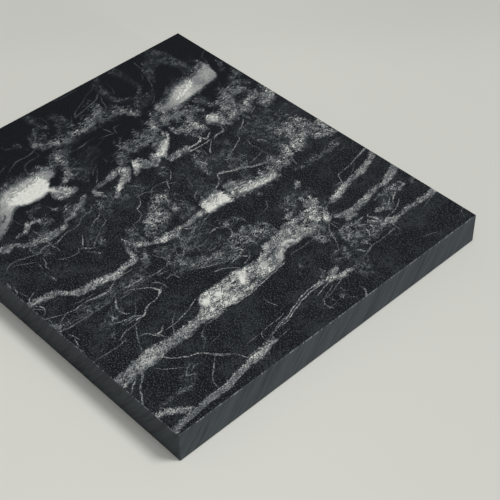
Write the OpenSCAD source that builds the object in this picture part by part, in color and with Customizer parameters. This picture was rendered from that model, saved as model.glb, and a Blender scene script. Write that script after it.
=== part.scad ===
// Compact laminate worktop, as a cut piece of the board: a solid high-pressure laminate, black
// right through, with a veined stone decor pressed into its upper face. It is one piece, sawn
// square, with a fine 45 degree arris on every edge so that no sharp laminate edge is left.
//
// It lies flat with the decor up. The origin is the centre of the underside. X runs along the
// length, Y across the depth towards the back edge and Z up through the thickness. Millimetres.

/* [Board] */
// Length of the board, along X
board_length = 160; // [60:1:3000]
// Depth of the board from front edge to back edge, along Y
board_depth = 140; // [60:1:1600]
// Thickness of the solid laminate, along Z
board_thickness = 12.5; // [6:0.5:20]

/* [Arrises] */
// Leg of the arris round the decor face
face_arris = 0.3; // [0.1:0.1:1]
// Leg of the arris round the underside
base_arris = 0.3; // [0.1:0.1:1]
// Leg of the arris down each upright corner
corner_arris = 0.3; // [0.1:0.1:1]

/* [Hidden] */
// Colour of the decor's dark ground and of the core
laminate_black = [0.13, 0.14, 0.15];

// A rectangle standing on the X axis, centred in X, with its lower and its upper corners cut at 45 degrees
module arrised_rectangle(width, height, low_leg, high_leg) {
    half = width / 2;
    polygon([
        [-half + low_leg, 0],
        [half - low_leg, 0],
        [half, low_leg],
        [half, height - high_leg],
        [half - high_leg, height],
        [-half + high_leg, height],
        [-half, height - high_leg],
        [-half, low_leg]
    ]);
}

// The outline seen from above, swept through the thickness: it cuts the upright corners
module plan_sweep() {
    linear_extrude(board_thickness)
        translate([0, -board_depth / 2])
            arrised_rectangle(board_length, board_depth, corner_arris, corner_arris);
}

// The section seen from the front edge, swept across the depth: it cuts the arrises of the two ends
module end_arris_sweep() {
    rotate([90, 0, 0])
        linear_extrude(board_depth, center = true)
            arrised_rectangle(board_length, board_thickness, base_arris, face_arris);
}

// The section seen from an end, swept along the length: it cuts the arrises of the front and back edges
module edge_arris_sweep() {
    rotate([90, 0, 90])
        linear_extrude(board_length, center = true)
            arrised_rectangle(board_depth, board_thickness, base_arris, face_arris);
}

// The whole board: what the three sweeps have in common, so that the arrises mitre at each corner
module worktop_board() {
    color(laminate_black)
        intersection() {
            plan_sweep();
            end_arris_sweep();
            edge_arris_sweep();
        }
}

worktop_board();
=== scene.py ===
# The compact laminate board as it looks: black right through, sawn on all four edges, with a
# veined black stone decor on its upper face. Lengths are metres in the row frame. The decor is
# drawn in millimetres of the board, with X along its length, Y towards its back edge and the
# origin in the middle.

import math

import bmesh
import bpy
from mathutils import Matrix, Vector, noise


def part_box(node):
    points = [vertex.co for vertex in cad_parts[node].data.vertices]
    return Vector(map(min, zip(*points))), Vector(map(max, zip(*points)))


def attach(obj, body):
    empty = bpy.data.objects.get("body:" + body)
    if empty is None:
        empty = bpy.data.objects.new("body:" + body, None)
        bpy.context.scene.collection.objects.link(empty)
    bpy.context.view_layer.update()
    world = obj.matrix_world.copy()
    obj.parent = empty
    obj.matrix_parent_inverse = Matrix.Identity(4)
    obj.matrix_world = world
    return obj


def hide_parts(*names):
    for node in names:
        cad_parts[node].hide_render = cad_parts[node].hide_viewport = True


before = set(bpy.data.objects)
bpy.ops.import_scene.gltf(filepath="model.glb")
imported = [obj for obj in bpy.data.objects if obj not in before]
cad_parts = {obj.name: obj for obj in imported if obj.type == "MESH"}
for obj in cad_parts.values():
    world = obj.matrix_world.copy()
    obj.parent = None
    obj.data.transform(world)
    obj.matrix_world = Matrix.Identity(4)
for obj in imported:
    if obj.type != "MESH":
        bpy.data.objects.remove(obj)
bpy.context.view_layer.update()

BOARD = "worktop_board"
MM = 0.001
LOW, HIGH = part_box(BOARD)
LENGTH = (HIGH[0] - LOW[0]) / MM
DEPTH = (HIGH[1] - LOW[1]) / MM
THICKNESS = (HIGH[2] - LOW[2]) / MM
ARRIS = 0.3

# Camera, at the photograph's angle
CAMERA_AZIMUTH = 47.4
CAMERA_ELEVATION = 43.82
CAMERA_ROLL = -1.377
CAMERA_DISTANCE = 0.4527
CAMERA_TARGET = (0.02728, 0.00944, 0.0)
CAMERA_LENS = 90.9
CAMERA_SENSOR = 36.0

# Lamps as (name, place, size in metres, power in watts), the light from all around and the floor
LAMPS = [
    ("key", (1.22, 1.02, 2.54), 0.9, 50.0),
    ("softbox", (0.76, -0.13, 2.9), 2.4, 27.0),
    ("side", (3.2, 0.35, 0.45), 0.5, 16.0),
]
WORLD_GREY = 0.5
WORLD_STRENGTH = 0.42
FLOOR_RADIUS = 4.0

# Colours, as they are read off a screen
# The floor at the two ends of its painted shade: darker at the back and right, lighter in front
FLOOR_SHADED = (196, 196, 190)
FLOOR_LIT = (216, 216, 209)
CORE_COLOUR = (66, 72, 77)
# The eased top edges, burnished and with a painted highlight
ARRIS_BURNISH_AND_HIGHLIGHT = (124, 130, 134)
CORE_STREAK = (46, 51, 56)
REVERSE_DARK = (30, 32, 35)
REVERSE_LIGHT = (42, 44, 47)
DECOR_STEPS = [
    (0.00, (16, 19, 24)),
    (0.12, (42, 46, 49)),
    (0.30, (88, 92, 94)),
    (0.50, (126, 129, 129)),
    (0.75, (174, 175, 171)),
    (1.00, (222, 223, 215)),
]

# Saw marks on the side faces, in millimetres: how far a mark leans over the board's thickness,
# how much it bows, how far apart and how deep the marks are, and the mesh's steps
SAW_LEAN = 9.0
SAW_BOW = 1.6
SAW_PITCH = 1.05
SAW_DEPTH = 0.03
SAW_STEP = 0.27
SAW_ROWS = 9

# Millimetres across the whole flat layout for baked pictures, on the top, the sides and the base,
# and the width of the narrow arris at each upright corner in it
TOP_LAYOUT = 163
SIDE_LAYOUT = 370
BASE_LAYOUT = 3260
MITRE_WIDTH = 0.42

# How strokes are drawn, in millimetres: the half width and the strength of a drawn-out tip, the
# most that a slant widens a stroke, and the space left between two strokes of one lane
TIP_WIDTH = 0.1
TIP_STRENGTH = 0.04
MOST_SLANT = 2.5
LANE_SPACE = 0.3

# How little the laminate shines, for all its faces
SPECULAR = 0.12

# The middle of the fibre texture, and the front limits of the bands and of the whites that fray
FIBRE_MIDDLE = 0.45
LOOSE_BANDS_FRONT = 22.2
LOOSE_CORES_FRONT = -29

# The decor's strokes are lists of points (x, y, half width, strength). X and Y are
# in millimetres, the half width in tenths of a millimetre and the strength in percent.

# Clouds of fine crackle
CLOUDS = [
    # Back left
    [(-79, 52, 30, 15), (-72, 53, 40, 20), (-65, 54.5, 30, 22), (-58, 56, 30, 20), (-55, 53, 20, 22)],
    [(-72, 50, 30, 25), (-66, 42, 30, 22), (-63, 40, 15, 22)],
    [(-59, 47.5, 15, 12), (-57.5, 47, 18, 15), (-55, 47, 10, 12)],
    [(-79, 33, 25, 20), (-72, 34, 18, 18), (-66, 34.2, 12, 22), (-61, 33, 10, 22), (-58, 30, 10, 25),
     (-56, 28, 15, 22)],
    [(-56, 37, 8, 20), (-55, 34, 15, 20), (-54, 30, 30, 20), (-53, 26, 30, 20), (-51, 22, 25, 25)],
    [(-63, 61, 15, 10), (-58, 60, 25, 12), (-56, 62, 10, 12)],
    [(-79, 25, 15, 20), (-75, 22, 20, 20), (-70, 21.5, 20, 25), (-65, 21.5, 15, 25), (-60, 23, 20, 20),
     (-58, 26, 15, 18)],
    [(-52, 69, 10, 20), (-50, 67, 15, 30), (-48, 65.5, 10, 25), (-47.5, 63.5, 6, 15)],
    [(-42, 69, 25, 28), (-40, 66, 30, 30), (-39, 62, 25, 20)],
    [(-36, 66, 20, 25), (-33, 67, 15, 25)],
    [(-38, 48, 35, 20), (-38, 43, 35, 22)],
    # Back middle
    [(-19, 51, 20, 30), (-16, 51.5, 20, 30), (-15, 54, 10, 25), (-14, 57, 8, 22), (-12, 59.5, 12, 30),
     (-10, 60.5, 8, 30), (-11, 64, 6, 25), (-12.5, 68, 6, 20)],
    [(4, 66, 20, 30), (6, 63, 20, 25)],
    [(9, 26, 15, 30), (8.5, 21, 20, 30)],
    [(-15, 32.5, 12, 35), (-13, 32.5, 12, 35)],
    [(-25, 36, 20, 35), (-24, 32, 25, 25), (-23, 28, 20, 22)],
    [(-16, 24, 15, 30), (-12, 22, 20, 30), (-8, 21, 20, 30)],
    [(-7, 55, 40, 12), (-3, 48, 50, 14), (2, 43, 40, 14)],
    [(17, 65, 13, 30), (17.5, 60, 16, 33), (18, 56, 15, 35), (18, 47, 10, 30), (18.3, 44, 8, 25),
     (17, 41.5, 15, 15)],
    [(22.5, 38, 15, 35), (24, 36, 15, 30), (24.5, 34, 12, 20)],
    [(17, 23, 10, 30), (19, 23.5, 12, 35)],
    # Back right
    [(49, 60, 10, 25), (48.8, 55, 11, 30), (49.2, 50, 8, 20)],
    [(50.5, 69, 13, 30), (52, 67, 12, 25), (54, 68, 10, 20)],
    [(33, 35, 20, 35)],
    [(37, 37, 15, 20)],
    [(58, 24, 20, 20), (62, 23, 20, 25), (66, 22, 20, 20), (71, 21.5, 20, 22)],
    [(66, 50, 20, 10), (70, 52, 20, 10)],
    # Middle left
    [(-72, -3, 22, 20), (-69, -1.5, 25, 22), (-66, -2, 25, 22), (-63.8, -1, 12, 33)],
    [(-66, -4.5, 10, 28), (-62, -6, 12, 28), (-60, -7.5, 18, 28), (-58.5, -5, 12, 20)],
    [(-79, -9.5, 12, 25), (-75, -10, 16, 35), (-71, -9.8, 10, 25), (-67.5, -8.5, 12, 35),
     (-66, -10, 10, 25)],
    [(-70, -12, 10, 20), (-67, -14.5, 20, 25), (-65, -16, 15, 22)],
    [(-68, -17, 15, 20)],
    [(-65.5, -22, 10, 35), (-66, -24.5, 10, 15)],
    [(-55, -8, 15, 22), (-52, -10, 25, 22), (-50, -12, 20, 22), (-47, -14, 15, 22)],
    [(-48, -19, 15, 35), (-46, -22, 20, 40), (-45, -25, 25, 50)],
    [(-44, -12.5, 13, 30)],
    [(-36, -4.5, 13, 30)],
    [(-38, 22, 20, 40), (-36.5, 20.5, 10, 35)],
    # Middle
    [(-18, -21, 20, 30), (-15, -22, 20, 25)],
    [(-15.5, 21, 10, 30), (-12, 19.5, 15, 35), (-8, 18.5, 18, 35), (-5, 18, 15, 33), (-2.5, 18, 8, 40)],
    [(8, 1, 20, 30), (7, -1, 15, 30), (8.5, -4, 10, 25)],
    [(-8, -4.5, 8, 45), (-6, -3.5, 13, 50), (0, -3, 16, 35), (3, -3.3, 10, 50), (4.5, -4, 6, 45)],
    [(-6.5, -4, 7, 65), (-5, -5.5, 12, 50), (-2.5, -6.5, 9, 55)],
    [(0, -7, 50, 30), (2, -11, 55, 30), (5, -17, 40, 28), (7, -20, 20, 25)],
    [(4.5, -8.5, 15, 40)],
    [(-7, 1, 10, 30), (-6, -1, 13, 30)],
    [(-18, 8, 15, 20), (-16, 6.5, 20, 22), (-14, 5, 15, 20)],
    [(21, 1, 10, 35), (22, 4, 15, 38), (21.5, 8, 13, 33), (23.5, 10, 15, 30)],
    [(22, -22, 30, 25), (25, -20, 30, 22)],
    # Middle right
    [(34, 14, 40, 30), (33, 10, 50, 28), (31, 6, 50, 28), (31, 2, 45, 28), (32, -2, 45, 28),
     (33, -6, 40, 25), (32, -10, 35, 25), (30, -14, 35, 25), (28, -18, 30, 27), (27, -22, 30, 25)],
    [(61.5, 12, 12, 38), (61.8, 10, 10, 35), (63, 8, 10, 30)],
    [(58, 20, 25, 25), (60, 18, 20, 25), (63, 18, 15, 20)],
    [(72.5, 10, 13, 30), (74, 8, 12, 30), (74.7, 6.5, 9, 45)],
    [(54.3, 8.5, 7, 30), (55.8, 6, 5, 25), (58, 3.5, 5, 22)],
    # Front left
    [(-53.5, -37.5, 20, 15), (-52, -35.5, 10, 28), (-50.5, -38.5, 10, 20)],
    [(-33, -36.5, 10, 20), (-31, -43, 10, 30), (-28.5, -44, 10, 30)],
    # Front middle
    [(-26, -30.5, 12, 35), (-24.5, -31, 20, 30), (-22, -33, 15, 22)],
    [(-24.5, -38, 20, 20), (-25, -42, 25, 30), (-27, -43, 15, 35)],
    [(-4, -31.5, 15, 28), (-2.5, -33, 15, 35), (-1.5, -35, 8, 20)],
    [(-4.3, -51, 9, 25)],
    [(-10.5, -49, 10, 28), (-11.5, -52, 12, 30)],
    [(2, -27.5, 12, 33), (5, -27.5, 13, 38), (8, -28, 10, 45), (10, -27, 10, 35)],
    [(14, -26, 20, 25), (16, -29, 20, 25), (17.5, -31, 10, 20)],
    [(16.5, -38, 8, 25)],
    [(15, -69.3, 5, 30), (17, -69, 5, 35), (20, -69, 10, 35)],
    [(20.5, -52, 8, 25), (20.5, -62, 10, 28), (20.5, -66, 10, 35), (19.5, -69.5, 10, 38)],
    # Front right
    [(29, -52.5, 18, 30), (29.5, -56, 15, 28)],
    [(28, -24, 30, 20)],
    [(71.5, -22, 15, 35)],
    [(67.5, -53, 15, 25), (68.5, -55.5, 13, 38), (67.5, -58, 10, 28), (67.5, -62, 10, 22),
     (67.5, -65.5, 7, 33), (68, -67.5, 4, 28)],
    [(56, -38, 20, 20)],
    [(56, -66, 10, 35)],
    # Wide haze in the middle
    [(-14, 60, 40, 16), (-12, 50, 50, 18), (-8, 44, 50, 18)],
    [(-3, 62, 30, 16), (-2, 54, 60, 20), (0, 47, 60, 20), (4, 44, 40, 20)],
    [(-8, 36, 40, 15), (-3, 32, 50, 17), (2, 26, 40, 18)],
    [(-10, 27, 40, 17), (-5, 23, 40, 17)],
    [(-13, 12, 40, 13), (-6, 12, 50, 13), (0, 9, 50, 15), (5, 12, 30, 17)],
    [(5, 2, 40, 18), (6, -5, 40, 20)],
    [(-16, -4, 40, 15), (-18, -18, 50, 17), (-14, -24, 40, 18)],
    [(3, -22, 40, 20), (8, -27, 40, 20)],
    [(16, 1, 30, 15), (18, -8, 40, 20), (20, -16, 40, 22), (17, -23, 40, 22)],
    [(-44, -2, 30, 10), (-42, -8, 40, 14), (-38, -14, 40, 18), (-34, -18, 30, 20)],
    # Wide haze in front
    [(-24, -30, 40, 20), (-18, -30, 40, 16), (-10, -30, 40, 15), (-4, -34, 40, 15)],
    [(-22, -46, 40, 18), (-12, -50, 40, 15)],
    [(20, -32, 40, 18), (20, -48, 30, 20), (20, -60, 30, 20)],
    [(26, -40, 30, 15), (29, -55, 30, 18), (33, -60, 40, 12)],
    [(56, -38, 25, 12)],
    [(62, -47, 20, 12), (66, -55, 30, 18)],
    [(24, -2, 30, 15), (25, -12, 30, 20)],
    # Wide haze at the back right
    [(36, 30, 40, 34), (41, 26, 50, 38), (46, 24, 40, 30), (52, 24, 40, 25)],
    [(52, 33, 50, 25), (60, 32, 50, 20), (62, 40, 40, 20), (56, 42, 35, 34)],
    [(66, 25, 30, 18), (74, 21, 30, 16)],
    [(50, 62, 30, 25), (51, 55, 30, 20), (55, 50, 30, 25)],
    [(30, 38, 30, 15), (28, 31, 30, 18), (31, 24, 40, 22)],
]

# Bands of broken stone
BANDS = [
    # The band from the back left edge, with its side arms
    [(-42, 35.5, 7, 45), (-40, 35, 10, 35), (-38, 33, 15, 40), (-36, 31.5, 8, 45)],
    [(-43, 30.5, 10, 30), (-38, 27, 18, 40), (-36.5, 25.5, 10, 30)],
    [(-45, 26, 5, 20), (-43, 25.5, 6, 40), (-42, 24, 5, 20)],
    [(-42, 23, 10, 40), (-39, 22, 20, 35), (-37, 21, 20, 40)],
    # The second band, back to front
    [(-33, 62, 15, 20), (-34, 57.5, 22, 30), (-32, 54.5, 25, 38), (-29, 51.5, 25, 42),
     (-27, 49.5, 20, 42)],
    [(-30.5, 49.2, 15, 60)],
    [(-33.5, 46.2, 15, 45)],
    [(-28, 42, 30, 60), (-25.5, 41, 30, 72), (-23, 42, 15, 60)],
    [(-34.5, 41.5, 6, 40), (-35.2, 38, 8, 45), (-36, 35.5, 10, 55), (-37, 34.8, 6, 40)],
    [(-37, 35, 10, 40), (-33.5, 37, 12, 35), (-33, 34, 15, 40), (-31, 33, 15, 40), (-28.5, 33, 22, 60),
     (-28, 30.5, 15, 45), (-28.5, 27.5, 10, 35), (-31, 25, 8, 25)],
    [(-27.5, 33.3, 20, 65)],
    [(-24, 69.5, 22, 70), (-22.5, 67.5, 22, 60), (-21, 65, 25, 50), (-20, 63, 18, 45), (-19, 61, 10, 30)],
    [(-26.5, 64, 12, 55)],
    [(-28, 63, 10, 35), (-26, 61.5, 10, 35), (-24.5, 58.5, 8, 35), (-23, 56, 20, 45), (-22, 54.5, 20, 50),
     (-23, 52, 15, 35), (-23.5, 49.5, 15, 40), (-22, 47.5, 18, 62), (-22, 45.5, 15, 65),
     (-20.5, 43.5, 8, 50)],
    [(-28, 52, 20, 50), (-26, 51, 20, 50), (-24, 50.5, 12, 40)],
    [(-28, 49.5, 10, 50), (-27, 47, 8, 40)],
    [(-28, 44.5, 10, 50), (-24, 43, 20, 55), (-21, 42.5, 12, 50)],
    # The third band, at the back
    [(4, 69.5, 20, 60), (6, 69, 20, 65), (7.5, 68, 10, 50)],
    [(12, 69, 6, 40), (10.7, 66.5, 8, 55), (10.3, 64, 9, 50), (9, 62, 11, 60), (9, 60.5, 6, 40)],
    [(-3, 64, 6, 20), (-3, 60.5, 8, 25), (-1.5, 57.5, 13, 50), (-2, 55, 8, 30), (-1.5, 52, 5, 20)],
    [(-1, 62, 15, 30), (2, 62.5, 15, 30), (4, 60.5, 15, 50), (7, 56, 16, 62), (7.7, 54, 15, 85),
     (8, 52, 15, 70), (8, 50.3, 8, 80)],
    [(-1, 57.5, 8, 45), (5, 53.5, 10, 40)],
    [(5.5, 51.7, 5, 50), (8, 51.5, 8, 75), (10.5, 51.7, 8, 70)],
    [(6.5, 49, 8, 55), (8.5, 48, 11, 60), (9.5, 46.5, 8, 60), (10, 44.5, 7, 50), (12, 42.5, 8, 60)],
    [(12.7, 42, 9, 75), (8.5, 40, 14, 60), (6.5, 39.8, 8, 45)],
    [(9.5, 38.5, 8, 60), (11, 37, 6, 50), (13, 36, 8, 75)],
    [(11, 34.5, 15, 40), (13.5, 33.5, 18, 55), (14.5, 32, 10, 80)],
    [(15, 35.3, 5, 50), (14.8, 33, 6, 80), (14, 31, 12, 100), (13.8, 29, 9, 100), (13.5, 26.8, 12, 97),
     (12.5, 25.5, 20, 75), (12.3, 23, 25, 68), (12.2, 21, 22, 63), (12, 18, 20, 60), (11.5, 16, 20, 50)],
    [(10, 31.5, 5, 60), (12.5, 31, 8, 85)],
    [(8.5, 21, 30, 35), (8, 17, 23, 35)],
    [(10.5, 15.2, 30, 45), (10.5, 13.3, 42, 90), (10, 11.5, 37, 80), (9.8, 7.5, 34, 75),
     (9.5, 5.5, 36, 95), (10, 4, 30, 75), (11, 3, 16, 55), (11.4, 1.5, 12, 65), (11.3, -0.5, 9, 45)],
    [(10.7, -1, 8, 40), (11.8, -6, 8, 50), (11.3, -8.5, 7, 45), (12, -11, 12, 50), (13, -12.7, 20, 55),
     (12, -14.5, 18, 65), (12, -17, 17, 68), (10.8, -19.5, 16, 62), (10.5, -20.5, 8, 45)],
    [(9, -22.5, 10, 55), (8, -24, 16, 65), (7.3, -26, 13, 40)],
    [(6.5, -29, 5, 35), (9, -29.7, 5, 50), (11.5, -30, 8, 60), (13.2, -31.2, 9, 70)],
    [(12.5, -30.3, 8, 65), (12.8, -33, 11, 62), (12.7, -35, 10, 65), (13.3, -37, 9, 70),
     (14.2, -38.5, 10, 70), (14, -41, 11, 68), (13, -43.5, 13, 68), (12.3, -47, 18, 55),
     (12.2, -49.5, 18, 45), (11.7, -52.5, 18, 42), (10.8, -55.5, 13, 45), (9, -57, 10, 50),
     (7.3, -58.7, 11, 50), (6.3, -60.5, 10, 45), (5.6, -63, 13, 45), (5, -68, 12, 50),
     (4.8, -70, 10, 40)],
    # The broad fourth band
    [(30.5, 69.5, 8, 35), (32, 67.5, 10, 40), (33.2, 65, 9, 50), (35, 58.5, 10, 48), (35.8, 52, 9, 50),
     (37.3, 46.5, 11, 72), (38.7, 40, 11, 70), (38.9, 38.9, 8, 40)],
    [(41.5, 70, 12, 40), (43, 67, 13, 48), (45, 61, 11, 42), (45.5, 58, 8, 40), (45.3, 55, 9, 45),
     (45.8, 52, 11, 52), (46.8, 48.5, 13, 62), (47.3, 45, 13, 60), (47.8, 42, 12, 50), (47, 36.5, 13, 35),
     (46, 34.5, 10, 35)],
    [(49.7, 39.3, 8, 40), (49.8, 36.5, 5, 35)],
    [(35, 34.8, 14, 50), (35, 33, 16, 50), (34.5, 31, 12, 35)],
    [(30.5, 32, 3, 50), (33, 32, 4, 75), (35, 32.3, 5, 85)],
    [(41, 34, 10, 35), (42.5, 32.5, 12, 50), (44.5, 31, 14, 85), (45, 29.5, 9, 80)],
    [(38, 28, 8, 40), (40.5, 27.3, 12, 75), (41.5, 28, 8, 70), (43, 27, 7, 50)],
    [(33.5, 24, 6, 45), (34, 22, 8, 40)],
    [(37, 24, 10, 40), (37.3, 21.5, 13, 75), (36.8, 19.5, 7, 50), (36.5, 17.5, 6, 35)],
    [(45, 24, 12, 50), (44, 22, 20, 55), (42, 20.5, 35, 50), (41, 18, 44, 52), (41, 16, 46, 60),
     (41.6, 10.5, 41, 50), (42.2, 8, 42, 55), (43.4, 5.5, 46, 50), (44.8, 3.5, 44, 50), (45.5, 1, 43, 60),
     (46, -2, 42, 68), (45.8, -5, 45, 62), (46, -8, 50, 65), (45.8, -11, 55, 72), (46, -17, 57, 60),
     (46.2, -20, 57, 75), (46.2, -23, 56, 79), (46.3, -26, 54, 75), (47.5, -28.5, 42, 68),
     (48.7, -30.5, 28, 62), (49.3, -32.5, 18, 62), (49.3, -35, 17, 50), (49.7, -38, 20, 42),
     (50, -41, 22, 48), (50, -44, 21, 50), (50, -50, 24, 48), (49.7, -53, 30, 50), (50, -55, 32, 55),
     (50.2, -58, 30, 62), (50.3, -60.5, 28, 55), (50.8, -63, 23, 50), (51.3, -65.5, 20, 48),
     (51.7, -70, 22, 48)],
    # The fifth band, near the right side
    [(55.3, 49.7, 9, 60), (54.3, 48, 9, 68), (54.3, 46.5, 6, 50)],
    [(61, 69.5, 10, 55), (61.2, 66, 8, 55), (60.8, 63, 9, 52), (61, 60, 8, 50), (60.7, 57, 6, 50),
     (60.5, 53.5, 4, 40), (61, 51, 4, 30), (61.2, 48.8, 7, 55), (60.5, 47, 13, 60), (60.8, 45, 9, 60),
     (60, 43, 7, 65), (60, 41, 4, 30)],
    [(67.7, 18, 4, 75), (66.8, 12.5, 9, 65), (66, 10, 10, 65), (65.2, 7, 6, 50), (64.9, 4.5, 5, 30)],
    [(63.7, 15, 5, 60), (64.3, 13, 7, 70), (65.3, 11, 8, 65)],
    [(72.7, -22.5, 9, 60), (72.5, -24.5, 10, 60), (73.3, -27, 12, 55), (73.6, -32, 15, 62),
     (73.7, -34, 12, 55), (74.3, -36.5, 9, 40), (75.2, -42, 9, 36), (76.3, -47, 9, 42), (76, -53, 9, 30),
     (76.4, -59, 8, 30), (77, -65, 9, 38), (78, -70, 9, 40)],
    [(74, -60.3, 6, 40), (73.3, -61.5, 10, 55), (73, -63, 9, 55), (71.5, -65, 10, 50),
     (70.3, -67.5, 10, 50), (69.5, -70, 10, 50)],
    # The hook and the long arc at the left
    [(-50.5, 22.5, 10, 30), (-51.5, 20.5, 13, 50), (-53.5, 20, 16, 55), (-55.5, 18.5, 12, 55),
     (-55.8, 16.5, 7, 50), (-55.6, 14.5, 4, 30), (-55.5, 12, 3, 18), (-55.3, 9, 3, 15)],
    [(-63, 14, 15, 30), (-61, 12, 16, 32), (-57.3, 6, 10, 40), (-56, 3.5, 10, 38), (-55.8, 0.5, 11, 40),
     (-56, -2.5, 10, 50), (-55.7, -5, 8, 35), (-55.5, -8, 8, 30), (-56, -11, 10, 30), (-57.3, -12, 9, 42),
     (-58.3, -15, 5, 25), (-59, -17.5, 5, 25)],
    [(-64, -13.5, 7, 40), (-63.5, -15.5, 6, 30), (-63, -16.8, 6, 45), (-61.5, -18, 5, 35),
     (-60, -18.3, 5, 30), (-58.5, -17, 5, 25)],
    [(-52.2, -16, 6, 60), (-50, -16.3, 9, 65), (-47.5, -16.8, 7, 40), (-43, -17.5, 10, 55),
     (-41, -18.2, 8, 45), (-39, -19.5, 10, 55), (-37.5, -21.5, 11, 62), (-36.5, -24, 8, 60),
     (-36, -26, 8, 60)],
    [(-36.5, 19, 10, 25), (-36.8, 14, 7, 28), (-35.7, 11, 6, 35), (-35.7, 7.5, 6, 38), (-36.5, 5, 7, 25)],
    [(-34.5, 19, 15, 30), (-34, 15.5, 14, 38), (-33.5, 12, 8, 30), (-33, 8, 6, 28), (-33.8, 4.5, 6, 28),
     (-32.5, 1.5, 12, 28), (-30.5, -1.5, 10, 30)],
    [(-32.5, 21, 6, 60), (-31.3, 20, 6, 62), (-31.5, 18, 5, 50), (-31, 15.5, 4, 45), (-30.3, 14, 4, 35)],
    # The white piece in the middle and its legs
    [(-31, 22, 10, 60), (-29.8, 20.8, 7, 60), (-27.3, 16.5, 20, 95), (-25.5, 14.5, 20, 90),
     (-24.5, 12.5, 16, 95), (-24, 11, 10, 70)],
    [(-19.8, 22, 15, 55), (-19.5, 19, 17, 60), (-19.7, 16, 15, 58), (-20, 14, 16, 60),
     (-21.5, 13, 15, 60), (-23, 12.5, 10, 60)],
    [(-24, 10.5, 20, 50), (-23, 8.5, 26, 55), (-22, 7, 22, 60), (-24, 5.5, 25, 55), (-25, 3.5, 30, 55),
     (-26, 2, 25, 75), (-24, 0.5, 12, 60), (-22, -1.5, 6, 50)],
    [(-19.8, 7, 8, 50)],
    [(-26, -2, 18, 50), (-25.5, -4, 32, 75), (-24, -5.5, 28, 68)],
    [(-23, -6, 16, 60), (-21.5, -8.5, 12, 65), (-20.2, -10.5, 9, 85), (-19, -12.5, 8, 70),
     (-18, -14, 6, 40)],
    [(-28, -6, 10, 50), (-27.3, -8.5, 14, 55), (-26.8, -11, 9, 45), (-26.5, -16, 7, 20)],
    [(-24.5, -18.5, 6, 30), (-22.5, -18.3, 9, 45), (-21, -18, 5, 30)],
    # The big white piece at the left edge, its horn and its tail
    [(-31, -22.5, 10, 50), (-31.5, -25, 23, 65), (-32, -28, 30, 62), (-32.5, -30, 25, 60)],
    [(-37.5, -28.5, 12, 60), (-34.5, -28, 20, 66), (-32.3, -25.5, 20, 64)],
    [(-27, -44.3, 5, 60), (-27.7, -46, 7, 65), (-27, -46.8, 10, 75), (-25.5, -48.5, 9, 70),
     (-24.8, -50.5, 6, 50), (-24.8, -52, 4, 30)],
    [(-25, -23, 7, 25), (-23, -27, 8, 33), (-22.5, -29.5, 8, 35), (-20.5, -31.5, 8, 35),
     (-20, -33.5, 7, 30), (-20, -35.5, 6, 35), (-18.5, -36.3, 6, 35), (-17.5, -38, 9, 35),
     (-17, -41, 12, 33), (-17, -44, 14, 40), (-17.8, -46.5, 15, 38), (-19, -52, 12, 35),
     (-21, -55, 9, 33), (-22.5, -57.5, 11, 38), (-22.5, -59.5, 22, 40), (-23, -61, 13, 35)],
]

# Smooth, milky stone with soft edges
MILKY = [
    [(-54, 63, 15, 42), (-51, 61, 36, 58), (-49.5, 57.5, 42, 58), (-48.5, 54, 41, 52),
     (-47.8, 46, 44, 74), (-46.8, 42, 41, 72), (-45.8, 38.5, 35, 66), (-45, 35.5, 25, 50),
     (-44.5, 29, 10, 20)],
    [(-45.5, -22.5, 14, 38), (-44, -30, 42, 64), (-43.8, -34, 48, 68), (-43.8, -38, 47, 68),
     (-43.2, -43, 44, 72), (-41, -46.5, 34, 68), (-38, -49, 25, 58), (-35, -51.5, 18, 52),
     (-32.5, -54, 14, 48), (-30.5, -57, 10, 38), (-29, -60, 5, 20)],
    [(-28.3, 18.5, 10, 70), (-27.2, 16.5, 14, 90), (-25.6, 14.5, 15, 90), (-24.5, 12.5, 12, 90)],
    [(-26, 3, 8, 70), (-24.5, 1.2, 7, 80)],
    [(-28.5, 42, 15, 60), (-26, 41, 18, 75), (-24, 41.5, 10, 60)],
]

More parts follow.
